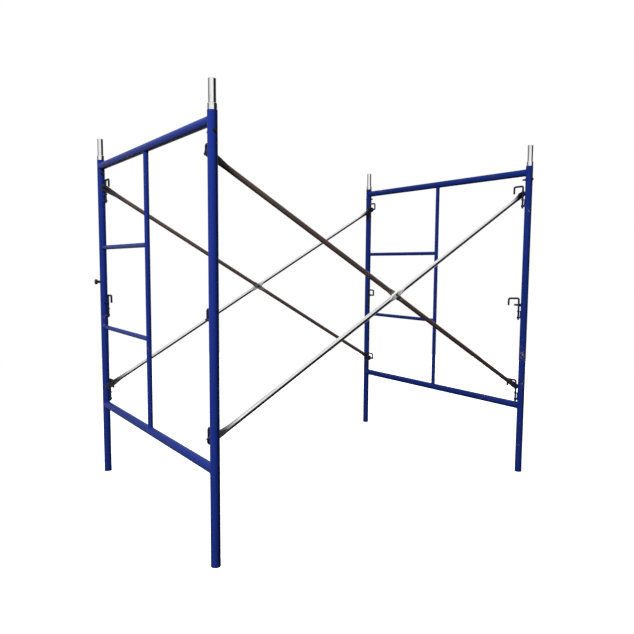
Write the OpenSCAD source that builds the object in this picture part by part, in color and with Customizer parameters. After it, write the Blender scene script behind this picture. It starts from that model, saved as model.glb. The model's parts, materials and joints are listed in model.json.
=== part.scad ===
// Frame scaffold section: two welded end frames, two pairs of riveted cross braces,
// four coupling pins and twelve stud locks.
// X runs along the bay, Y across the frames, Z up. The origin lies on the ground,
// midway between the four legs. The front is at -Y and the left frame at -X.

/* [End frames] */
// Length of each leg tube
leg_height = 1930; // [1600:10:2320]
// Distance between the leg centre lines of one frame
frame_width = 1524; // [900:4:1830]
// Distance between the two frames
bay_length = 2134; // [1500:2:3050]
// Outer diameter of the legs, headers and bottom rails
leg_diameter = 42.9; // [35:0.1:52]
// Wall of the legs, headers and bottom rails
leg_wall = 2.4; // [2:0.1:3.2]
// Header centre line below the top of the legs
header_drop = 38; // [30:1:60]
// Clear height between the lowest lock rod and the bottom rail
bottom_rail_gap = 4.5; // [1:0.5:150]
// Outer diameter of the inner post
inner_post_diameter = 26.7; // [22:0.1:34]
// Inner post centre line from the middle of the frame, towards the rear
inner_post_offset = 0; // [-200:5:200]
// Outer diameter of the rungs
rung_diameter = 25.4; // [20:0.1:34]
// Wall of the inner post and the rungs
rung_wall = 2; // [1.6:0.1:3]

/* [Coupling pins] */
// Play of the pin in the leg, on the radius
pin_play = 1.6; // [0.3:0.1:4]
// Length of pin standing above its collar
pin_height = 101.6; // [80:0.2:150]
// Length of pin inside the leg, below its bolt
pin_end_length = 21.6; // [12:0.2:100]
// Height of the collar that sits on the leg
collar_height = 25.4; // [12:0.2:40]
// Wall of the pin tube
pin_wall = 3; // [2:0.1:5]
// Chamfer at the top edge of the pin
pin_chamfer = 3; // [1:0.5:6]
// Diameter of the bolt that holds the pin in the leg
pin_bolt_diameter = 9.5; // [7:0.1:12]
// Bolt axis below the underside of the header
pin_bolt_drop = 20.55; // [12:0.05:40]
// Threaded end standing past the nut
pin_bolt_tail = 16; // [4:1:24]
// Bolt hole clearance, on the radius
bolt_clearance = 0.3; // [0.1:0.1:0.6]

/* [Cross braces] */
// Outer diameter of the brace tubes
brace_diameter = 25.4; // [21:0.1:31]
// Wall of the brace tubes
brace_wall = 2; // [1.6:0.1:2.6]
// Width of the flattened ends
brace_end_width = 36; // [30:0.5:44]
// Length from the hole to where the flattened end starts to turn round
brace_end_length = 34; // [28:1:60]
// Length over which the flattened end turns round
brace_end_blend = 62; // [40:1:100]
// Thickness of each tube where the two tubes are pressed and riveted
brace_crossing_thickness = 13; // [10:0.5:18]
// Length of the pressed zone at the crossing
brace_crossing_length = 50; // [40:1:90]
// Diameter of the rivet at the crossing
brace_rivet_diameter = 10; // [8:0.5:12]
// Rivet hole clearance, on the radius
rivet_clearance = 0.3; // [0.1:0.1:0.6]

/* [Studs] */
// Top stud below the header centre line
stud_top_drop = 126; // [105:1:400]
// Distance from the top stud down to the bottom stud
stud_spacing = 1219; // [800:1:1250]
// Spare stud above the lower rung
spare_stud_rise = 154; // [125:1:220]
// Diameter of the stud
stud_diameter = 12.7; // [10:0.1:16]
// Shoulder that the brace end sits against, past the brace hole, on the radius
stud_shoulder_step = 1.85; // [1.5:0.05:4]
// Length of stud standing past the shoulder
stud_length = 35; // [25:1:45]
// Brace hole clearance on the stud, on the radius
brace_hole_clearance = 0.8; // [0.4:0.1:1.2]

/* [Stud locks] */
// Diameter of the bent lock rod
lock_rod_diameter = 12; // [8:0.1:15]
// Gap between the lock rod and the stud shoulder beside it
lock_side_gap = 1; // [0.4:0.1:4]
// Lock rod axis from the leg surface, towards the inside of the frame
lock_reach = 8.55; // [7:0.05:12]
// Gap between the lock rod and the brace end that sits on the shoulder
lock_brace_gap = 0.95; // [0.4:0.05:3]
// Distance between the two arms of the hook
hook_width = 64; // [50:1:80]
// Straight height of the hook's arms past the brace end
hook_gap = 0.7; // [0.4:0.1:12]
// Bend radius of the hook, at the rod's centre line
hook_bend_radius = 9; // [7.5:0.5:14]
// End of the hook's free arm below the stud axis
hook_tip_drop = 1; // [0:1:6]
// Gap between the lock bracket and the brace end above it
bracket_gap = 1.5; // [0.5:0.1:12]
// Thickness of the ears
ear_thickness = 5; // [3:0.5:8]
// Wall of the ear around the lock rod, past the stop collar
ear_margin = 1; // [0.5:0.5:3]
// Travel of the lock between its stops
lock_lift = 30; // [24:1:40]
// Height of the stop collar on the lock rod
lock_collar_height = 5.4; // [4:0.1:8]
// Stop collar past the lock rod, on the radius
lock_collar_step = 3; // [2:0.1:4]
// Lock rod standing below the lower ear
lock_tail = 10; // [6:1:30]
// Clearance of the lock rod in its ears, on the radius
lock_clearance = 0.4; // [0.3:0.1:0.8]
// Gap between the stop collar and an ear at either end of the travel
stop_gap = 0.3; // [0.3:0.1:1]
// Turn of the spare lock on the front right leg
spare_lock_turn = 54; // [0:1:90]

/* [Side bolt] */
// Height of the bolt on the outer side of the rear left leg
side_bolt_height = 1195; // [1100:1:1300]
// Distance that it stands out from the leg
side_bolt_length = 30; // [20:1:32]
// Size of its head across the flats
side_bolt_head = 27; // [20:1:30]

/* [Hidden] */
$fn = 48;

LEFT = -1;
RIGHT = 1;
FRONT = -1;
REAR = 1;

leg_r = leg_diameter / 2;
leg_bore_r = leg_r - leg_wall;
header_height = leg_height - header_drop;
// Coped ends stop short of the leg centre line, where the cope runs out to a feather edge.
cope_relief = 3;

pin_diameter = 2 * (leg_bore_r - pin_play);
pin_bolt_height = header_height - leg_r - pin_bolt_drop;
pin_depth = leg_height - pin_bolt_height + pin_end_length;

stud_r = stud_diameter / 2;
stud_shoulder_r = stud_r + brace_hole_clearance + stud_shoulder_step;
lock_r = lock_rod_diameter / 2;
lock_collar_r = lock_r + lock_collar_step;
// Lock rod axis at a leg: beside the stud, and from the leg centre line.
lock_side = stud_shoulder_r + lock_side_gap + lock_r;
lock_out = leg_r + lock_reach;
shoulder_face = lock_out + lock_r + lock_brace_gap;

brace_r = brace_diameter / 2;
brace_end_thickness = 2 * brace_wall;
brace_plane = shoulder_face + brace_end_thickness / 2;
brace_shift = brace_crossing_thickness / 2;
brace_half = round(50 * norm([bay_length, stud_spacing])) / 100;
brace_angle = atan2(stud_spacing, bay_length);
// A pressed tube keeps its girth, so its oval grows wider as it gets thinner.
brace_crossing_width = brace_crossing_thickness
    + PI * (brace_diameter - brace_crossing_thickness) / 2;

// How far a sloping brace end reaches above or below its stud, at a distance beside it.
function brace_end_reach(beside) =
    beside * tan(brace_angle) + brace_end_width / 2 / cos(brace_angle);

ear_r = lock_collar_r + ear_margin;
ear_drop = brace_end_reach(lock_side + ear_r) + bracket_gap;
ear_gap = lock_lift + lock_collar_height + 2 * stop_gap;
ear_top = -ear_drop;
ear_bottom = ear_top - ear_gap - 2 * ear_thickness;
lock_end = ear_bottom - lock_tail;
lock_collar_base = ear_bottom + ear_thickness + stop_gap;
arm_top = brace_end_reach(lock_side + lock_r) + hook_gap;
lock_axis_distance = norm([lock_side, lock_out]);
lock_direction = atan2(lock_out, lock_side);
strap_face = lock_axis_distance - lock_collar_r - stop_gap;
strap_width = 1.4 * lock_collar_r;

stud_top_height = header_height - stud_top_drop;
stud_bottom_height = stud_top_height - stud_spacing;
bottom_rail_height = stud_bottom_height + lock_end - bottom_rail_gap - leg_r;
rung_pitch = (header_height - bottom_rail_height) / 3;
stud_spare_height = bottom_rail_height + rung_pitch + spare_stud_rise;

hex = 2 / sqrt(3);
nut_across = pin_bolt_diameter * 1.5;
nut_height = pin_bolt_diameter * 0.88;
bolt_head_height = pin_bolt_diameter * 0.66;
blue = [0.14, 0.2, 0.55];
bright = [0.86, 0.87, 0.89];
dull = [0.42, 0.4, 0.39];
dark = [0.1, 0.1, 0.11];

// A plain tube standing on the XY plane.
module tube(diameter, wall, length) {
    difference() {
        cylinder(d = diameter, h = length);
        translate([0, 0, -1]) cylinder(d = diameter - 2 * wall, h = length + 2);
    }
}

// Children drawn at a leg's foot, with +X towards the bay and +Y towards the
// inside of the frame.
module at_leg(side, row) {
    translate([side * bay_length / 2, row * frame_width / 2, 0])
        mirror([side > 0 ? 1 : 0, 0, 0]) mirror([0, row > 0 ? 1 : 0, 0]) children();
}

// Children drawn in the plane of a frame, with Y across it.
module at_frame(side) {
    translate([side * bay_length / 2, 0, 0]) children();
}

// Solid rods where the two legs stand, which shape the ends that meet them.
module leg_envelopes() {
    for (row = [FRONT, REAR])
        translate([0, row * frame_width / 2, -1]) cylinder(d = leg_diameter, h = leg_height + 2);
}

// A tube across the frame, coped to sit against both legs.
module cross_tube(side, height, diameter, wall) {
    at_frame(side) difference() {
        translate([0, cope_relief - frame_width / 2, height]) rotate([-90, 0, 0])
            tube(diameter, wall, frame_width - 2 * cope_relief);
        leg_envelopes();
    }
}

module leg(side, row) {
    color(blue) at_leg(side, row) difference() {
        tube(leg_diameter, leg_wall, leg_height);
        translate([0, 0, pin_bolt_height]) rotate([90, 0, 0])
            cylinder(r = pin_bolt_diameter / 2 + bolt_clearance, h = 2 * leg_diameter, center = true);
    }
}

module header(side) {
    color(blue) cross_tube(side, header_height, leg_diameter, leg_wall);
}

module bottom_rail(side) {
    color(blue) cross_tube(side, bottom_rail_height, leg_diameter, leg_wall);
}

module inner_post(side) {
    color(blue) at_frame(side) difference() {
        translate([0, inner_post_offset, bottom_rail_height])
            tube(inner_post_diameter, rung_wall, header_height - bottom_rail_height);
        for (height = [bottom_rail_height, header_height])
            translate([0, 0, height]) rotate([90, 0, 0])
                cylinder(d = leg_diameter, h = frame_width, center = true);
    }
}

// Rungs run from the inner post to the rear leg only.
module rung(side, step) {
    color(blue) at_frame(side) difference() {
        translate([0, inner_post_offset, bottom_rail_height + step * rung_pitch])
            rotate([-90, 0, 0])
                tube(rung_diameter, rung_wall, frame_width / 2 - inner_post_offset);
        leg_envelopes();
        translate([0, inner_post_offset, 0])
            cylinder(d = inner_post_diameter, h = leg_height);
    }
}

module coupling_pin(side, row) {
    color(bright) at_leg(side, row) translate([0, 0, leg_height]) difference() {
        union() {
            translate([0, 0, -pin_depth])
                cylinder(d = pin_diameter, h = pin_depth + collar_height + pin_height - pin_chamfer);
            cylinder(d = leg_diameter, h = collar_height);
            translate([0, 0, collar_height + pin_height - pin_chamfer])
                cylinder(d1 = pin_diameter, d2 = pin_diameter - 2 * pin_chamfer, h = pin_chamfer);
        }
        translate([0, 0, -pin_depth - 1])
            cylinder(d = pin_diameter - 2 * pin_wall - pin_chamfer,
                h = pin_depth + collar_height + pin_height + 2);
        translate([0, 0, pin_bolt_height - leg_height]) rotate([90, 0, 0])
            cylinder(r = pin_bolt_diameter / 2 + bolt_clearance, h = 2 * leg_diameter, center = true);
    }
}

// Hex bolt from the outer side of the leg, with its threaded end inside.
module pin_bolt(side, row) {
    color(dark) at_leg(side, row)
        translate([0, -leg_r - bolt_head_height, pin_bolt_height])
            rotate([-90, 0, 0]) {
                cylinder(d = nut_across * hex, h = bolt_head_height, $fn = 6);
                cylinder(d = pin_bolt_diameter,
                    h = bolt_head_height + leg_diameter + nut_height + pin_bolt_tail);
            }
}

module pin_nut(side, row) {
    color(dark) at_leg(side, row) translate([0, leg_r, pin_bolt_height])
        rotate([-90, 0, 0]) difference() {
            cylinder(d = nut_across * hex, h = nut_height, $fn = 6);
            translate([0, 0, -1])
                cylinder(r = pin_bolt_diameter / 2 + 0.05, h = nut_height + 2);
        }
}

// Stud welded to the leg, with the shoulder that the brace end sits against.
module stud(side, row, height) {
    at_leg(side, row) difference() {
        translate([0, 0, height]) rotate([-90, 0, 0]) {
            cylinder(r = stud_shoulder_r, h = shoulder_face);
            cylinder(d = stud_diameter, h = shoulder_face + stud_length);
        }
        cylinder(d = leg_diameter, h = leg_height);
    }
}

module stud_set(side, row) {
    color(blue) for (height = [stud_top_height, stud_spare_height, stud_bottom_height])
        stud(side, row, height);
}

// Outline of one ear: a drilled eye for the lock rod on a neck from the leg.
module ear_outline() {
    difference() {
        rotate(lock_direction) {
            translate([lock_axis_distance, 0]) circle(r = ear_r);
            translate([0, -lock_collar_r]) square([lock_axis_distance, 2 * lock_collar_r]);
        }
        circle(d = leg_diameter);
        translate([lock_side, lock_out]) circle(r = lock_r + lock_clearance);
    }
}

// Outline of the strap that joins the two ears along the leg.
module strap_outline() {
    difference() {
        rotate(lock_direction) translate([0, -strap_width / 2]) square([strap_face, strap_width]);
        circle(d = leg_diameter);
    }
}

// U-shaped bracket below a stud: two drilled ears on a back strap.
module lock_bracket(side, row, height) {
    color(blue) at_leg(side, row) translate([0, 0, height]) translate([0, 0, ear_bottom]) {
        for (base = [0, ear_thickness + ear_gap])
            translate([0, 0, base]) linear_extrude(ear_thickness) ear_outline();
        translate([0, 0, ear_thickness]) linear_extrude(ear_gap) strap_outline();
    }
}

// Quarter bend of the lock rod in the YZ plane, centred on the X axis.
module hook_bend(start) {
    rotate([0, 90, 0]) rotate(start)
        rotate_extrude(angle = 90, $fn = 40)
            translate([hook_bend_radius, 0]) circle(d = lock_rod_diameter, $fn = 20);
}

// Straight length of the lock rod, hanging from the origin.
module hanging_rod(length) {
    rotate([180, 0, 0]) cylinder(d = lock_rod_diameter, h = length);
}

// Bent rod: a shank with a stop collar, and a square-shouldered hook over the stud.
module cane_lock(side, row, height, turn = 0) {
    color(dark) at_leg(side, row) translate([lock_side, lock_out, height]) rotate(-turn) {
        translate([0, 0, lock_collar_base]) cylinder(r = lock_collar_r, h = lock_collar_height);
        translate([0, 0, arm_top]) {
            hanging_rod(arm_top - lock_end);
            translate([0, hook_bend_radius, 0]) hook_bend(180);
            translate([0, hook_bend_radius, hook_bend_radius]) rotate([-90, 0, 0])
                cylinder(d = lock_rod_diameter, h = hook_width - 2 * hook_bend_radius);
            translate([0, hook_width - hook_bend_radius, 0]) hook_bend(90);
            translate([0, hook_width, 0]) hanging_rod(arm_top + hook_tip_drop);
        }
    }
}

// Oval of the pressed tube at the crossing, as wide as the tube's girth allows.
module crossing_oval() {
    flat = brace_crossing_width - brace_crossing_thickness;
    square([brace_crossing_thickness, flat], center = true);
    for (end = [-1, 1])
        translate([0, end * flat / 2]) circle(d = brace_crossing_thickness);
}

// One brace tube along X, with its flattened ends shifted by shift in Y.
module brace_tube(shift) {
    blend_end = brace_end_length + brace_end_blend;
    crossing_half = brace_crossing_length / 2;
    round_half = brace_crossing_length;
    round_length = brace_half - blend_end - round_half;
    difference() {
        union() {
            for (end = [0, 1]) mirror([end, 0, 0]) {
                translate([brace_half, shift - brace_end_thickness / 2, 0]) rotate([-90, 0, 0])
                    cylinder(d = brace_end_width, h = brace_end_thickness);
                translate([brace_half - brace_end_length / 2, shift, 0])
                    cube([brace_end_length, brace_end_thickness, brace_end_width], center = true);
                hull() {
                    translate([brace_half - brace_end_length, shift, 0])
                        cube([0.2, brace_end_thickness, brace_end_width], center = true);
                    translate([brace_half - blend_end, 0, 0]) rotate([0, 90, 0])
                        cylinder(d = brace_diameter, h = 0.1, $fn = 32);
                }
                translate([round_half, 0, 0]) rotate([0, 90, 0])
                    cylinder(d = brace_diameter, h = round_length);
                hull() {
                    translate([crossing_half, 0, 0]) rotate([90, 0, 90])
                        linear_extrude(0.1) crossing_oval($fn = 32);
                    translate([round_half, 0, 0]) rotate([0, 90, 0])
                        cylinder(d = brace_diameter, h = 0.1, $fn = 32);
                }
            }
            translate([-crossing_half, 0, 0]) rotate([90, 0, 90])
                linear_extrude(brace_crossing_length) crossing_oval();
        }
        for (end = [-1, 1]) translate([end * brace_half, 0, 0]) rotate([90, 0, 0])
            cylinder(r = stud_r + brace_hole_clearance, h = 2 * brace_diameter, center = true);
        rotate([90, 0, 0])
            cylinder(d = brace_rivet_diameter + 2 * rivet_clearance, h = 2 * brace_diameter, center = true);
        for (end = [0, 1]) mirror([end, 0, 0]) translate([round_half + brace_wall, 0, 0])
            rotate([0, 90, 0])
                cylinder(d = brace_diameter - 2 * brace_wall, h = round_length - 2 * brace_wall);
    }
}

// Places a brace between the studs of one row. The rising brace lies nearer the
// legs and the falling one inside it; both share the plane of the stud shoulders.
module at_brace(row, rising) {
    depth = brace_plane + (rising ? -brace_shift : brace_shift);
    translate([0, row * (frame_width / 2 - depth), stud_top_height - stud_spacing / 2])
        mirror([0, row > 0 ? 1 : 0, 0]) rotate([0, rising ? -brace_angle : brace_angle, 0])
            children();
}

module brace_rising(row) {
    color(bright) at_brace(row, true) brace_tube(brace_shift);
}

module brace_falling(row) {
    color(dull) at_brace(row, false) brace_tube(-brace_shift);
}

// Rivet through both tubes, with a round head on each side.
module brace_rivet(row) {
    head_height = brace_rivet_diameter * 0.35;
    length = 2 * brace_crossing_thickness;
    color(dull) translate([0, row * (frame_width / 2 - brace_plane), stud_top_height - stud_spacing / 2])
        rotate([90, 0, 0]) {
            cylinder(d = brace_rivet_diameter, h = length, center = true);
            for (end = [0, 1]) mirror([0, 0, end]) translate([0, 0, brace_crossing_thickness])
                cylinder(d1 = brace_rivet_diameter * 1.8, d2 = brace_rivet_diameter * 1.2,
                    h = head_height);
        }
}

// Short bolt welded to the outer side of the leg.
module side_bolt() {
    head = side_bolt_length * 0.45;
    color(dark) difference() {
        at_leg(LEFT, REAR) translate([0, 0, side_bolt_height]) rotate([0, -90, 0]) {
            cylinder(d = side_bolt_head * 0.6, h = leg_r + side_bolt_length);
            translate([0, 0, leg_r + side_bolt_length - head])
                cylinder(d = side_bolt_head * hex, h = head, $fn = 6);
        }
        at_leg(LEFT, REAR) cylinder(d = leg_diameter, h = leg_height);
    }
}

// Left end frame
module leg_left_front() leg(LEFT, FRONT);
module leg_left_rear() leg(LEFT, REAR);
module header_left() header(LEFT);
module bottom_rail_left() bottom_rail(LEFT);
module inner_post_left() inner_post(LEFT);
module rung_lower_left() rung(LEFT, 1);
module rung_upper_left() rung(LEFT, 2);

// Right end frame
module leg_right_front() leg(RIGHT, FRONT);
module leg_right_rear() leg(RIGHT, REAR);
module header_right() header(RIGHT);
module bottom_rail_right() bottom_rail(RIGHT);
module inner_post_right() inner_post(RIGHT);
module rung_lower_right() rung(RIGHT, 1);
module rung_upper_right() rung(RIGHT, 2);

// Coupling pins and studs, one set to a leg
module coupling_pin_left_front() coupling_pin(LEFT, FRONT);
module coupling_pin_left_rear() coupling_pin(LEFT, REAR);
module coupling_pin_right_front() coupling_pin(RIGHT, FRONT);
module coupling_pin_right_rear() coupling_pin(RIGHT, REAR);
module studs_left_front() stud_set(LEFT, FRONT);
module studs_left_rear() stud_set(LEFT, REAR);
module studs_right_front() stud_set(RIGHT, FRONT);
module studs_right_rear() stud_set(RIGHT, REAR);

// Lock brackets
module lock_bracket_top_left_front() lock_bracket(LEFT, FRONT, stud_top_height);
module lock_bracket_spare_left_front() lock_bracket(LEFT, FRONT, stud_spare_height);
module lock_bracket_bottom_left_front() lock_bracket(LEFT, FRONT, stud_bottom_height);
module lock_bracket_top_left_rear() lock_bracket(LEFT, REAR, stud_top_height);
module lock_bracket_spare_left_rear() lock_bracket(LEFT, REAR, stud_spare_height);
module lock_bracket_bottom_left_rear() lock_bracket(LEFT, REAR, stud_bottom_height);
module lock_bracket_top_right_front() lock_bracket(RIGHT, FRONT, stud_top_height);
module lock_bracket_spare_right_front() lock_bracket(RIGHT, FRONT, stud_spare_height);
module lock_bracket_bottom_right_front() lock_bracket(RIGHT, FRONT, stud_bottom_height);
module lock_bracket_top_right_rear() lock_bracket(RIGHT, REAR, stud_top_height);
module lock_bracket_spare_right_rear() lock_bracket(RIGHT, REAR, stud_spare_height);
module lock_bracket_bottom_right_rear() lock_bracket(RIGHT, REAR, stud_bottom_height);

// Locks
module cane_lock_top_left_front() cane_lock(LEFT, FRONT, stud_top_height);
module cane_lock_spare_left_front() cane_lock(LEFT, FRONT, stud_spare_height);
module cane_lock_bottom_left_front() cane_lock(LEFT, FRONT, stud_bottom_height);
module cane_lock_top_left_rear() cane_lock(LEFT, REAR, stud_top_height);
module cane_lock_spare_left_rear() cane_lock(LEFT, REAR, stud_spare_height);
module cane_lock_bottom_left_rear() cane_lock(LEFT, REAR, stud_bottom_height);
module cane_lock_top_right_front() cane_lock(RIGHT, FRONT, stud_top_height);
module cane_lock_spare_right_front() cane_lock(RIGHT, FRONT, stud_spare_height, spare_lock_turn);
module cane_lock_bottom_right_front() cane_lock(RIGHT, FRONT, stud_bottom_height);
module cane_lock_top_right_rear() cane_lock(RIGHT, REAR, stud_top_height);
module cane_lock_spare_right_rear() cane_lock(RIGHT, REAR, stud_spare_height);
module cane_lock_bottom_right_rear() cane_lock(RIGHT, REAR, stud_bottom_height);

// Cross braces
module brace_rising_front() brace_rising(FRONT);
module brace_falling_front() brace_falling(FRONT);
module brace_rising_rear() brace_rising(REAR);
module brace_falling_rear() brace_falling(REAR);

// Fasteners that are all alike share a node
module brace_rivets() { for (row = [FRONT, REAR]) brace_rivet(row); }
module pin_bolts() { for (side = [LEFT, RIGHT], row = [FRONT, REAR]) pin_bolt(side, row); }
module pin_nuts() { for (side = [LEFT, RIGHT], row = [FRONT, REAR]) pin_nut(side, row); }

leg_left_front();
leg_left_rear();
header_left();
bottom_rail_left();
inner_post_left();
rung_lower_left();
rung_upper_left();
leg_right_front();
leg_right_rear();
header_right();
bottom_rail_right();
inner_post_right();
rung_lower_right();
rung_upper_right();
coupling_pin_left_front();
coupling_pin_left_rear();
coupling_pin_right_front();
coupling_pin_right_rear();
studs_left_front();
studs_left_rear();
studs_right_front();
studs_right_rear();
lock_bracket_top_left_front();
lock_bracket_spare_left_front();
lock_bracket_bottom_left_front();
lock_bracket_top_left_rear();
lock_bracket_spare_left_rear();
lock_bracket_bottom_left_rear();
lock_bracket_top_right_front();
lock_bracket_spare_right_front();
lock_bracket_bottom_right_front();
lock_bracket_top_right_rear();
lock_bracket_spare_right_rear();
lock_bracket_bottom_right_rear();
cane_lock_top_left_front();
cane_lock_spare_left_front();
cane_lock_bottom_left_front();
cane_lock_top_left_rear();
cane_lock_spare_left_rear();
cane_lock_bottom_left_rear();
cane_lock_top_right_front();
cane_lock_spare_right_front();
cane_lock_bottom_right_front();
cane_lock_top_right_rear();
cane_lock_spare_right_rear();
cane_lock_bottom_right_rear();
brace_rising_front();
brace_falling_front();
brace_rising_rear();
brace_falling_rear();
brace_rivets();
pin_bolts();
pin_nuts();
side_bolt();
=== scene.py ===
"""Frame scaffold section: looks, weld beads, small fittings, light and camera.

Metres, in the frame of the CAD model: X along the bay, Y across the frames, Z up.
The front legs are at -Y and the left frame at -X.
"""
import json
import math

import bmesh
import bpy
import numpy as np
from mathutils import Matrix, Vector


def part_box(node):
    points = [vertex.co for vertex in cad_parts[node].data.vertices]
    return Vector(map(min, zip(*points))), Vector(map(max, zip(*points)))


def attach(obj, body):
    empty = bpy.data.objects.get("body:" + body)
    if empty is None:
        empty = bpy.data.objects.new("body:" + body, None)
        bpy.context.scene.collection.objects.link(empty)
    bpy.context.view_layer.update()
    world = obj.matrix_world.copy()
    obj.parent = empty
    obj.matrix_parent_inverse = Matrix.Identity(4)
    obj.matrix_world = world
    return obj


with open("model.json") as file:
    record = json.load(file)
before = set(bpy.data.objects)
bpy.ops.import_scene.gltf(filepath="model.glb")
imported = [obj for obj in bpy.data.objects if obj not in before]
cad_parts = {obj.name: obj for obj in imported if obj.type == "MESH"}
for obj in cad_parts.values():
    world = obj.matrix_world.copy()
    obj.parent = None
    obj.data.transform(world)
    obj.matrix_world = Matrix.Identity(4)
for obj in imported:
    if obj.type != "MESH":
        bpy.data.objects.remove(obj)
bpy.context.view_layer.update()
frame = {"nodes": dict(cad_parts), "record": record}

NODES = frame["nodes"]
SIDES = ("left", "right")
ROWS = ("front", "rear")
LEVELS = ("top", "spare", "bottom")


# ---------------------------------------------------------------- measures
def centre(node):
    low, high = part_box(node)
    return (low + high) / 2


def radius_of(node, axis=0):
    low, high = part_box(node)
    return (high - low)[axis] / 2


LEG_R = radius_of("leg_left_front")
LEG_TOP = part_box("leg_left_front")[1].z
POST_R = radius_of("inner_post_left")
RUNG_R = radius_of("rung_lower_left")
RAIL_R = radius_of("header_left")


# ---------------------------------------------------------------- materials
class Nodes:
    """A short way to build a shader tree: a call adds its nodes and returns their output."""

    def __init__(self, name):
        self.material = bpy.data.materials.new(name)
        self.material.use_nodes = True
        self.tree = self.material.node_tree
        self.tree.nodes.clear()
        self.out = self.tree.nodes.new("ShaderNodeOutputMaterial")
        self.shader = self.tree.nodes.new("ShaderNodeBsdfPrincipled")
        self.link(self.shader.outputs["BSDF"], self.out.inputs["Surface"])
        coords = self.tree.nodes.new("ShaderNodeTexCoord")
        self.place, self.share = coords.outputs["Object"], coords.outputs["Generated"]

    def link(self, source, target):
        self.tree.links.new(source, target)

    def feed(self, node, **inputs):
        for key, value in inputs.items():
            numbered = key[0] == "i" and key[1:].isdigit()
            socket = node.inputs[int(key[1:]) if numbered else key.replace("_", " ")]
            if isinstance(value, bpy.types.NodeSocket):
                self.link(value, socket)
            else:
                socket.default_value = value
        return node

    def noise(self, scale, detail=3.0, rough=0.55, stretch=(1, 1, 1)):
        mapping = self.tree.nodes.new("ShaderNodeMapping")
        self.feed(mapping, Vector=self.place, Scale=stretch)
        node = self.tree.nodes.new("ShaderNodeTexNoise")
        self.feed(node, Vector=mapping.outputs[0], Scale=scale, Detail=detail,
                  Roughness=rough)
        return node.outputs["Fac"]

    def mask(self, value, low, high):
        """Black below low, white above high, and a ramp between them."""
        node = self.tree.nodes.new("ShaderNodeValToRGB")
        self.link(value, node.inputs["Fac"])
        for mark, place, grey in zip(node.color_ramp.elements, (low, high), (0, 1)):
            mark.position, mark.color = place, (grey, grey, grey, 1)
        return node.outputs["Color"]

    def math(self, kind, a, b=0.5):
        node = self.tree.nodes.new("ShaderNodeMath")
        node.operation = kind
        return self.feed(node, i0=a, i1=b).outputs[0]

    def mix(self, factor, a, b):
        node = self.tree.nodes.new("ShaderNodeMix")
        node.data_type = "RGBA"
        self.feed(node, i0=factor, i6=a if not isinstance(a, tuple) else (*a, 1),
                  i7=b if not isinstance(b, tuple) else (*b, 1))
        return node.outputs[2]

    def span(self, value, low, high):
        node = self.tree.nodes.new("ShaderNodeMapRange")
        return self.feed(node, Value=value, To_Min=low, To_Max=high).outputs[0]

    def from_middle(self):
        """How far along X a point lies from the middle of its piece: 0 there, 1 at the ends."""
        node = self.tree.nodes.new("ShaderNodeSeparateXYZ")
        self.link(self.share, node.inputs[0])
        offset = self.math("SUBTRACT", node.outputs["X"], 0.5)
        return self.math("MULTIPLY", self.math("ABSOLUTE", offset), 2.0)

    def bump(self, height, strength, distance):
        node = self.tree.nodes.new("ShaderNodeBump")
        self.feed(node, Height=height, Strength=strength, Distance=distance)
        self.link(node.outputs[0], self.shader.inputs["Normal"])

    def set(self, **inputs):
        self.feed(self.shader, **inputs)
        return self.material


def worn_paint(name, light, deep, chips):
    """Blue enamel on steel: brushed-on colour shifts, scuffs, and bare or rusty chips."""
    n = Nodes(name)
    broad = n.noise(3.2, 3, stretch=(1, 1, 0.35))
    fine = n.noise(46, 4, stretch=(1, 1, 0.22))
    paint = n.mix(n.span(broad, 0.15, 0.85), deep, light)
    paint = n.mix(n.math("MULTIPLY", fine, 0.3), paint, tuple(0.55 * c for c in deep))
    scuff = n.mask(n.noise(21, 6, 0.72, stretch=(1, 1, 0.3)), 0.64, 0.71)
    chalk = tuple(min(1, 1.9 * c + 0.012) for c in light)
    paint = n.mix(n.math("MULTIPLY", scuff, 0.35), paint, chalk)
    spots = n.noise(88, 4, 0.6)
    where = n.noise(7, 2)
    bare = n.mask(n.math("MULTIPLY", spots, where), *chips)
    metal = n.mix(n.noise(160, 2), (0.3, 0.27, 0.25), (0.16, 0.07, 0.035))
    colour = n.mix(bare, paint, metal)
    n.bump(n.math("SUBTRACT", n.math("MULTIPLY", n.noise(240, 3), 0.35), bare), 0.35, 0.0006)
    rough = n.math("ADD", n.span(fine, 0.32, 0.5), n.math("MULTIPLY", scuff, 0.18))
    return n.set(Base_Color=colour, Roughness=rough, Metallic=n.math("MULTIPLY", bare, 0.7),
                 IOR=1.22, Specular_IOR_Level=0.25)


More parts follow.
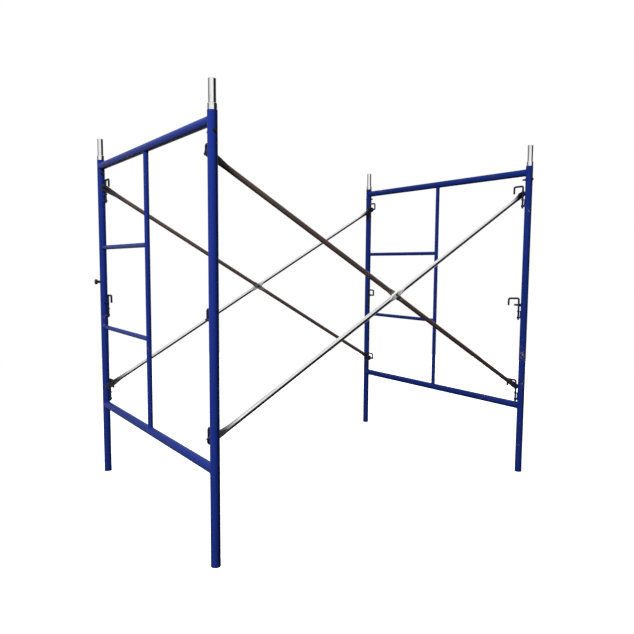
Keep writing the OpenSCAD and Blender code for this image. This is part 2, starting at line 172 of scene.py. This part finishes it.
def zinc_tube(name, bright, dark, smudge, rough, streak, grimy, pressed=None, metal=1.0):
    """Galvanised or plated tube: soft spangle, long drawn streaks, and grime. A brace also
    has pressed, the colours of its crossing and of its two ends."""
    n = Nodes(name)
    spangle = n.noise(70, 3, 0.5)
    drawn = n.noise(30, 4, 0.6, stretch=(0.06, 1, 0.06))
    colour = n.mix(n.span(spangle, 0.2, 0.8), dark, bright)
    shade = tuple(0.72 * c for c in dark)
    colour = n.mix(n.math("MULTIPLY", drawn, streak), colour, shade)
    grime = n.mask(n.noise(9, 6, 0.7), 0.52, 0.7)
    colour = n.mix(n.math("MULTIPLY", grime, grimy), colour, smudge)
    n.bump(n.noise(190, 3), 0.18, 0.0003)
    value = n.math("ADD", n.span(drawn, *rough), n.math("MULTIPLY", grime, 0.16))
    if pressed:
        # The flattened stretches, at the crossing and at both ends, are duller. The crossing is
        # rubbed and mirrors less, and the two ends are made much darker.
        along = n.from_middle()
        crossing = n.math("SUBTRACT", 1.0, n.mask(along, 0.025, 0.05))
        ends = n.mask(along, 0.86, 0.93)
        colour = n.mix(crossing, colour, pressed[0])
        colour = n.mix(ends, colour, pressed[1])
        value = n.math("ADD", value, n.math("MULTIPLY", n.math("MAXIMUM", crossing, ends), 0.3))
        kept = n.math("SUBTRACT", 1.0, n.math("MULTIPLY", crossing, 0.85))
        metal = n.math("MULTIPLY", metal, kept)
    return n.set(Base_Color=colour, Roughness=value, Metallic=metal)


def dark_steel(name, base, edge, rust, rough):
    """Blackened or painted steel with rubbed highlights and a little rust."""
    n = Nodes(name)
    fine = n.noise(120, 4)
    colour = n.mix(n.span(fine, 0.0, 0.9), base, edge)
    bloom = n.mask(n.noise(34, 5, 0.7), 0.56, 0.68)
    colour = n.mix(n.math("MULTIPLY", bloom, 0.6), colour, rust)
    n.bump(n.noise(310, 3), 0.4, 0.0004)
    return n.set(Base_Color=colour, Roughness=n.span(fine, *rough), Metallic=0.0,
                 Specular_IOR_Level=0.25)


MATERIALS = {
    "frame_blue": worn_paint(
        "frame_blue_paint", light=(0.014, 0.034, 0.235), deep=(0.009, 0.022, 0.17),
        chips=(0.41, 0.44)),
    "fitting_blue": worn_paint(
        "fitting_blue_paint", light=(0.012, 0.022, 0.16), deep=(0.005, 0.009, 0.08),
        chips=(0.39, 0.42)),
    "pin_zinc": zinc_tube(
        "pin_zinc_plate", bright=(0.94, 0.94, 0.95), dark=(0.8, 0.8, 0.82),
        smudge=(0.5, 0.42, 0.38), rough=(0.06, 0.16), streak=0.25, grimy=0.35),
    "brace_bright": zinc_tube(
        "brace_bright_zinc", bright=(0.95, 0.95, 0.96), dark=(0.84, 0.84, 0.86),
        smudge=(0.6, 0.57, 0.55), rough=(0.08, 0.2), streak=0.25, grimy=0.3,
        pressed=((0.9, 0.9, 0.9), (0.16, 0.15, 0.15))),
    # Painted shade: the falling braces are the same zinc as the rising ones, and these dark
    # browns, with their smudge and pressed colours, are a shaded copy of it with a slight brown
    # tint of their own.
    "brace_dull": zinc_tube(
        "brace_painted_shade_zinc", bright=(0.30, 0.21, 0.20), dark=(0.17, 0.12, 0.11),
        smudge=(0.09, 0.05, 0.035), rough=(0.3, 0.5), streak=0.5, grimy=0.45,
        pressed=((0.2, 0.2, 0.19), (0.06, 0.055, 0.06)), metal=0.5),
    "lock_dark": dark_steel(
        "lock_dark_steel", base=(0.004, 0.004, 0.014), edge=(0.018, 0.018, 0.045),
        rust=(0.035, 0.016, 0.014), rough=(0.3, 0.5)),
    # Painted shade in part: these near-black colours darken the pin bolts so that they blend
    # with the shaded side of the legs they sit on.
    "fastener_dark": dark_steel(
        "fastener_shade_darkened_steel", base=(0.010, 0.010, 0.014), edge=(0.022, 0.022, 0.03),
        rust=(0.05, 0.022, 0.015), rough=(0.35, 0.6)),
}


def dress_cad():
    """Gives each CAD node the material of its slot."""
    for part in frame["record"]["subparts"]:
        mesh = NODES[part["node"]].data
        mesh.materials.clear()
        mesh.materials.append(MATERIALS[part["material_slot"]])


dress_cad()


# ---------------------------------------------------------------- weld beads
# Every added piece is fixed to the frames or braces, so all ride the same body.
ROOT = "scaffold"


def piece(name, mesh, slot):
    obj = bpy.data.objects.new(name, mesh)
    bpy.context.scene.collection.objects.link(obj)
    mesh.materials.append(MATERIALS[slot])
    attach(obj, ROOT)


def mesh_data(name, mesh, smooth=True):
    """Turns a finished bmesh into mesh data with its normals outwards."""
    bmesh.ops.recalc_face_normals(mesh, faces=mesh.faces)
    data = bpy.data.meshes.new(name)
    mesh.to_mesh(data)
    mesh.free()
    for face in data.polygons:
        face.use_smooth = smooth
    return data


def skin(mesh, rings, closed, around):
    """Faces between neighbouring rings of the mesh's points, with ends capped if open."""
    if closed:
        rings = rings + rings[:1]
    for a, b in zip(rings, rings[1:]):
        for k in range(around):
            j = (k + 1) % around
            mesh.faces.new((a[k], a[j], b[j], b[k]))
    if not closed:
        mesh.faces.new(rings[0][::-1])
        mesh.faces.new(rings[-1])


def saddle(a, big, small):
    """Point at angle a on the curve where a tube of radius small, along +X, meets the
    surface of a tube of radius big that stands along +Z."""
    y, z = small * math.cos(a), small * math.sin(a)
    return Vector((math.sqrt(max(big * big - y * y, 0)), y, z))


def bead_mesh(name, path, outward, width, ripples, seed, closed=True):
    """A weld bead along path: a low ridge with overlapping ripples and uneven toes."""
    rng = np.random.default_rng(seed)
    count, sides = len(path), 8
    wander = rng.uniform(0.9, 1.12, count)
    mesh = bmesh.new()
    rings = []
    for i, (point, out) in enumerate(zip(path, outward)):
        ahead = path[(i + 1) % count] if closed or i < count - 1 else path[i]
        behind = path[i - 1] if closed or i else path[i]
        along = (ahead - behind).normalized()
        out = (out - out.dot(along) * along).normalized()
        across = along.cross(out)
        beat = (i * ripples / count) % 1.0
        swell = wander[i] * (0.84 + 0.2 * math.sqrt(1 - (2 * beat - 1) ** 2))
        if not closed:
            swell *= 0.35 + 0.65 * min(1, 4 * i / count, 4 * (count - 1 - i) / count)
        ring = []
        for k in range(sides):
            t = 2 * math.pi * k / sides
            ring.append(mesh.verts.new(
                point + across * (math.cos(t) * width * swell)
                + out * (math.sin(t) * width * 0.72 * swell)))
        rings.append(ring)
    skin(mesh, rings, closed, sides)
    return mesh_data(name, mesh)


BEAD = 0.0034
POST_BEAD = BEAD * 0.85
RUNG_BEAD = BEAD * 0.8
# How far inside the leg's side a rail's bead ends, and how much a rung's bead is drawn in
# on the post, which is hardly wider than the rung.
FLUSH = 0.0001
TUCKED = 0.985


def weld_round(name, place, axis, direction, big, small, width, seed):
    """Bead where a tube running in direction leaves a tube along axis at place."""
    x, z = Vector(direction).normalized(), Vector(axis).normalized()
    turn = Matrix((x, z.cross(x), z)).transposed()
    count = 96
    path, out = [], []
    for i in range(count):
        a = 2 * math.pi * i / count
        point = saddle(a, big, small)
        path.append(Vector(place) + turn @ point)
        lean = Vector((0, math.cos(a), math.sin(a))) + Vector((0.75, 0, 0))
        out.append(turn @ lean)
    ripples = int(2 * math.pi * small / (width * 1.15))
    data = bead_mesh(name, path, out, width, ripples, seed)
    if small > 0.99 * big:
        # Tubes of one size meet flush at the sides, and the bead runs out there.
        side = z.cross(x)
        for vertex in data.vertices:
            reach = (vertex.co - Vector(place)).dot(side)
            if abs(reach) > big - FLUSH:
                vertex.co -= side * (reach - math.copysign(big - FLUSH, reach))
    piece(name, data, "frame_blue")


def frame_welds():
    seed = 11
    up, across = (0, 0, 1), (0, 1, 0)
    for side in SIDES:
        for rail in ("header", "bottom_rail"):
            for row in ROWS:
                leg = centre(f"leg_{side}_{row}")
                place = (leg.x, leg.y, centre(f"{rail}_{side}").z)
                inward = (0, 1 if row == "front" else -1, 0)
                weld_round(f"weld_{rail}_{side}_{row}", place, up, inward,
                           LEG_R, RAIL_R, BEAD, seed)
                seed += 1
            tube = centre(f"{rail}_{side}")
            post = centre(f"inner_post_{side}")
            weld_round(f"weld_post_{rail}_{side}", (tube.x, post.y, tube.z), across,
                       (0, 0, -1 if rail == "header" else 1), RAIL_R, POST_R, POST_BEAD, seed)
            seed += 1
        for rung in ("lower", "upper"):
            height = centre(f"rung_{rung}_{side}").z
            post, leg = centre(f"inner_post_{side}"), centre(f"leg_{side}_rear")
            weld_round(f"weld_rung_{rung}_{side}_post", (post.x, post.y, height), up,
                       (0, 1, 0), POST_R, RUNG_R * TUCKED, RUNG_BEAD, seed)
            weld_round(f"weld_rung_{rung}_{side}_leg", (leg.x, leg.y, height), up,
                       (0, -1, 0), LEG_R, RUNG_R, POST_BEAD, seed + 1)
            seed += 2


# ---------------------------------------------------------------- small fittings
def axes_about(axis):
    """Three unit vectors at right angles, the last along the axis."""
    z = Vector(axis).normalized()
    x = z.orthogonal().normalized()
    return x, z.cross(x), z


def lathe(name, profile, place, axis, slot):
    """A turned piece: profile holds (distance along the axis, radius), closed into a ring."""
    segments = 48
    x, y, z = axes_about(axis)
    mesh = bmesh.new()
    rings = [[mesh.verts.new(Vector(place) + z * h
                             + (x * math.cos(t) + y * math.sin(t)) * r)
              for t in (2 * math.pi * k / segments for k in range(segments))]
             for h, r in profile]
    skin(mesh, rings, True, segments)
    piece(name, mesh_data(name, mesh), slot)


def arc(centre_h, centre_r, radius, start, stop, steps):
    """Points of a profile on an arc, in degrees from the axis direction outwards."""
    points = []
    for i in range(steps):
        t = math.radians(start + (stop - start) * i / (steps - 1))
        points.append((centre_h + radius * math.cos(t), centre_r + radius * math.sin(t)))
    return points


BOLT_R = 0.00475
THREAD_LENGTH = 0.016
THREAD_PITCH = 0.0015
THREAD_HEIGHT = 0.00035


def screw_thread(name, place, axis, slot):
    """A helical ridge round a bolt's free end."""
    steps = 28
    count = int((THREAD_LENGTH / THREAD_PITCH - 1) * steps)
    # Across the ridge: place in pitches and height in ridge heights.
    section = ((-0.46, -0.4), (-0.07, 1.0), (0.07, 1.0), (0.46, -0.4))
    x, y, z = axes_about(axis)
    mesh = bmesh.new()
    rows = []
    for i in range(count + 1):
        t = 2 * math.pi * i / steps
        out = x * math.cos(t) + y * math.sin(t)
        base = Vector(place) + z * (THREAD_PITCH * i / steps + THREAD_PITCH / 2)
        # The ridge fades in and out over a third of a turn.
        ease = min(1, 3 * i / steps, 3 * (count - i) / steps) + 0.02
        rows.append([mesh.verts.new(base + z * (THREAD_PITCH * along)
                                    + out * (BOLT_R + THREAD_HEIGHT * rise * ease))
                     for along, rise in section])
    skin(mesh, rows, False, len(section))
    piece(name, mesh_data(name, mesh, smooth=False), slot)


def shank_axis(node):
    """Where the straight shank of a lock stands, seen from above."""
    points = np.array([v.co[:] for v in NODES[node].data.vertices])
    foot = points[points[:, 2] < points[:, 2].min() + 0.0005]
    return (foot.max(0) + foot.min(0)) / 2


STUD_BEAD = 0.0026
STRAP_HALF = 0.0063
STRAP_BEAD = 0.0024
STRAP_BEAD_LIFT = 0.0002
COLLAR_HEIGHT = 0.0254
COLLAR_FILLET = 0.0022
SEAT_BEAD = 0.0013
SEAT_BEAD_INSET = 0.0014
NUT_HEIGHT = 0.00836
# The pin bolt's axis lies this far below the top of the leg.
BOLT_DROP = 0.080
# The washer is sunk a little, so that its rim meets the round leg.
WASHER_SINK = 0.0006
WASHER_IN, WASHER_OUT, WASHER_FACE, WASHER_BACK = 0.0052, 0.0098, 0.0012, -0.0046
WASHER = ((0, WASHER_IN), (WASHER_FACE, WASHER_IN), (WASHER_FACE, WASHER_OUT - 0.0004),
          (WASHER_FACE - 0.0004, WASHER_OUT), (0.0, WASHER_OUT), (WASHER_BACK, WASHER_OUT),
          (WASHER_BACK, WASHER_IN))
# The dome is a cap of a ball, 2 mm high, with its rim sunk into the rivet's flat head.
RIVET_DOME = (*arc(-0.0104, 0, 0.0124, 1, 29.5, 8), (-0.0006, 0.0061), (-0.0006, 0.0001))


def leg_places():
    """Each leg's key, its centre, and the sign of Y that points into the frame."""
    for side in SIDES:
        for row in ROWS:
            yield f"{side}_{row}", centre(f"leg_{side}_{row}"), 1 if row == "front" else -1


def mount_of(name):
    return next(m for m in frame["record"]["mounts"] if m["name"] == name)


def stud_heights(key):
    """A stud shoulder's radius and the heights of a leg's three studs."""
    low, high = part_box(f"studs_{key}")
    shoulder = (high.x - low.x) / 2
    spare = mount_of(f"spare_stud_{key}")["pos_m"][2]
    return shoulder, {"top": high.z - shoulder, "spare": spare, "bottom": low.z + shoulder}


def bracket_weld(name, leg, low, high, angle, seed):
    """An upright bead beside a bracket's strap, at an angle round the leg."""
    out = Vector((math.cos(angle), math.sin(angle), 0))
    count, ripples = 56, 17
    path = [Vector((leg.x, leg.y, low + (high - low) * i / (count - 1)))
            + out * (LEG_R + STRAP_BEAD_LIFT) for i in range(count)]
    data = bead_mesh(name, path, [out] * count, STRAP_BEAD, ripples, seed, closed=False)
    piece(name, data, "fitting_blue")


def fitting_welds():
    seed = 301
    for key, leg, inward in leg_places():
        shoulder, heights = stud_heights(key)
        for level in LEVELS:
            weld_round(f"weld_stud_{level}_{key}", (leg.x, leg.y, heights[level]), (0, 0, 1),
                       (0, inward, 0), LEG_R, shoulder, STUD_BEAD, seed)
            low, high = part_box(f"lock_bracket_{level}_{key}")
            shank = shank_axis(f"cane_lock_{level}_{key}")
            toward = math.atan2(shank[1] - leg.y, shank[0] - leg.x)
            spread = math.asin(STRAP_HALF / LEG_R)
            for name, lean in (("a", -spread), ("b", spread)):
                seed += 1
                bracket_weld(f"weld_bracket_{level}_{key}_{name}", leg, low.z, high.z,
                             toward + lean, seed)
            seed += 1


def pin_fittings():
    for key, leg, inward in leg_places():
        # Hollow fillet where the pin's shaft leaves the collar.
        pin = centre(f"coupling_pin_{key}")
        shaft_r = mount_of(f"stacking_pin_{key}")["dims"]["r_mm"] / 1000
        f, sink = COLLAR_FILLET, 0.0004
        turns = [math.pi / 2 * i / 6 for i in range(7)]
        lathe(f"collar_fillet_{key}",
              [(0, shaft_r - sink), (f, shaft_r - sink)]
              + [(f - f * math.sin(t), shaft_r + f - f * math.cos(t)) for t in turns],
              (pin.x, pin.y, LEG_TOP + COLLAR_HEIGHT), (0, 0, 1), "pin_zinc")
        # Bead of weld or old paint where the collar sits on the leg.
        lathe(f"collar_seat_{key}", arc(0, LEG_R - SEAT_BEAD_INSET, SEAT_BEAD, 0, 330, 12),
              (leg.x, leg.y, LEG_TOP), (0, 0, 1), "fitting_blue")
        bolt_z = LEG_TOP - BOLT_DROP
        free_end = leg.y + inward * (LEG_R + NUT_HEIGHT)
        screw_thread(f"bolt_thread_{key}", (leg.x, free_end, bolt_z), (0, inward, 0),
                     "fastener_dark")
        # Washers under the head and the nut, with a chamfered outer rim.
        for name, side in (("head", -1), ("nut", 1)):
            outward = side * inward
            lathe(f"washer_{name}_{key}", WASHER,
                  (leg.x, leg.y + outward * (LEG_R - WASHER_SINK), bolt_z),
                  (0, outward, 0), "fastener_dark")


def rivet_domes():
    """Round heads outside the two rivets where the braces cross."""
    low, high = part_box("brace_rivets")
    for row, outer, sign in (("front", low.y, -1), ("rear", high.y, 1)):
        middle = centre(f"brace_rising_{row}")
        lathe(f"rivet_dome_{row}", RIVET_DOME, (middle.x, outer, middle.z), (0, sign, 0),
              "brace_dull")


frame_welds()
fitting_welds()
pin_fittings()
rivet_domes()


# ---------------------------------------------------------------- floor, light, camera
# Camera: where it stands, and its heading and lean in degrees. Found by fitting the
# frame's tubes to the photograph, as are the lens and its shift.
CAMERA_PLACE = (-2.194, -3.079, 1.303)
CAMERA_HEADING = 36.88
CAMERA_TILT = -5.20
CAMERA_ROLL = 0.55
CAMERA_LENS = 34.42
CAMERA_SHIFT = (-0.0215, 0.0071)
FLOOR_R = 5.5
FLOOR_GREY = 0.95
FLOOR_GLOW = 0.8

# Two like lamps, turned by the same angle from the camera's line of sight.
LAMP_SIZE = 1.8
LAMP_DISTANCE = 6.0
LAMP_HEIGHT = 4.4
LAMP_TARGET = (0, 0, 0.9)
LAMP_TURN = 26


def stage_material():
    n = Nodes("floor_pale")
    shade = n.mix(n.noise(0.8, 2), (FLOOR_GREY,) * 3, (0.985 * FLOOR_GREY,) * 3)
    return n.set(Base_Color=shade, Roughness=0.9, Specular_IOR_Level=0.0,
                 Emission_Color=shade, Emission_Strength=FLOOR_GLOW)


def floor():
    bpy.ops.mesh.primitive_circle_add(vertices=96, radius=FLOOR_R, fill_type="NGON")
    plane = bpy.context.object
    plane.name = "floor"
    plane.data.materials.append(stage_material())
    plane.visible_diffuse = plane.visible_glossy = False


def heading(degrees):
    """Level direction at a compass heading, with +Y as north."""
    return Vector((math.sin(math.radians(degrees)), math.cos(math.radians(degrees)), 0))


def area_light(name, azimuth, power):
    """A soft round lamp at a compass heading seen from the middle of the object, which it
    points at. It doesn't show in reflections."""
    data = bpy.data.lights.new(name, "AREA")
    data.shape, data.size, data.energy = "DISK", LAMP_SIZE, power
    lamp = bpy.data.objects.new(name, data)
    bpy.context.scene.collection.objects.link(lamp)
    lamp.location = heading(azimuth) * LAMP_DISTANCE + Vector((0, 0, LAMP_HEIGHT))
    aim = Vector(LAMP_TARGET) - lamp.location
    lamp.rotation_euler = aim.to_track_quat("-Z", "Y").to_euler()
    lamp.visible_glossy = False


# Grey of the room by the direction's rise (0 straight down, 1 straight up) or by how far
# it lies to the camera's right (0 left, 1 right).
MIRROR_STOPS = ((0.0, 0.01), (0.26, 0.01), (0.35, 0.8), (0.5, 0.9), (0.8, 1.0), (1.0, 0.8))
FLAG_STOPS = ((0.0, 0.15), (0.04, 0.15), (0.08, 0.85), (0.5, 1.0), (0.8, 1.0), (0.88, 0.02),
              (1.0, 0.02))
AMBIENT_STOPS = ((0.0, 0.02), (0.45, 0.03), (0.6, 0.1), (1.0, 0.3))
MIRROR_GAIN = 1.1


def studio():
    """White surroundings for the camera, dim ones for diffuse light, and for reflections a
    bright upper room over a dark floor, with a dark flag on each side. The flags draw the
    dark lines along polished tubes."""
    scene = bpy.context.scene
    scene.world = bpy.data.worlds.new("studio")
    scene.world.use_nodes = True
    tree = scene.world.node_tree
    tree.nodes.clear()

    def add(kind, **values):
        node = tree.nodes.new(kind)
        for key, value in values.items():
            setattr(node, key, value)
        return node

    def join(source, target):
        tree.links.new(source, target)

    def ramp(value, *stops):
        node = add("ShaderNodeValToRGB")
        marks = node.color_ramp.elements
        while len(marks) < len(stops):
            marks.new(0.5)
        for mark, (place, grey) in zip(marks, stops):
            mark.position, mark.color = place, (grey, grey, grey, 1)
        join(value, node.inputs["Fac"])
        return node.outputs["Color"]

    def dot(vector):
        node = add("ShaderNodeVectorMath", operation="DOT_PRODUCT")
        join(look, node.inputs[0])
        node.inputs[1].default_value = vector
        half = add("ShaderNodeMath", operation="MULTIPLY_ADD")
        join(node.outputs["Value"], half.inputs[0])
        half.inputs[1].default_value = half.inputs[2].default_value = 0.5
        return half.outputs[0]

    def times(a, b):
        node = add("ShaderNodeMix", data_type="RGBA", blend_type="MULTIPLY")
        node.inputs[0].default_value = 1
        join(a, node.inputs[6])
        join(b, node.inputs[7])
        return node.outputs[2]

    def choose(factor, a, b):
        node = add("ShaderNodeMixShader")
        join(factor, node.inputs[0])
        join(a, node.inputs[1])
        join(b, node.inputs[2])
        return node.outputs[0]

    def glow(colour, strength):
        node = add("ShaderNodeBackground")
        node.inputs["Strength"].default_value = strength
        if colour:
            join(colour, node.inputs["Color"])
        else:
            node.inputs["Color"].default_value = (1, 1, 1, 1)
        return node.outputs[0]

    look = add("ShaderNodeTexCoord").outputs["Generated"]
    right = heading(CAMERA_HEADING + 90)
    rise = dot((0, 0, 1))
    flags = ramp(dot(right), *FLAG_STOPS)
    mirrored = times(ramp(rise, *MIRROR_STOPS), flags)
    ambient = ramp(rise, *AMBIENT_STOPS)
    path = add("ShaderNodeLightPath").outputs
    out = add("ShaderNodeOutputWorld")
    lit = choose(path["Is Glossy Ray"], glow(ambient, 1.0), glow(mirrored, MIRROR_GAIN))
    join(choose(path["Is Camera Ray"], lit, glow(None, 1.0)), out.inputs["Surface"])


def camera():
    data = bpy.data.cameras.new("camera")
    data.lens, data.sensor_width = CAMERA_LENS, 36
    data.shift_x, data.shift_y = CAMERA_SHIFT
    cam = bpy.data.objects.new("camera", data)
    bpy.context.scene.collection.objects.link(cam)
    cam.matrix_world = (
        Matrix.Translation(CAMERA_PLACE)
        @ Matrix.Rotation(math.radians(-CAMERA_HEADING), 4, "Z")
        @ Matrix.Rotation(math.radians(90 + CAMERA_TILT), 4, "X")
        @ Matrix.Rotation(math.radians(CAMERA_ROLL), 4, "Z"))
    bpy.context.scene.camera = cam


bpy.context.scene.view_settings.view_transform = "Standard"
floor()
studio()
area_light("key", CAMERA_HEADING + 180 + LAMP_TURN, 500)
area_light("back", CAMERA_HEADING + LAMP_TURN, 220)
camera()
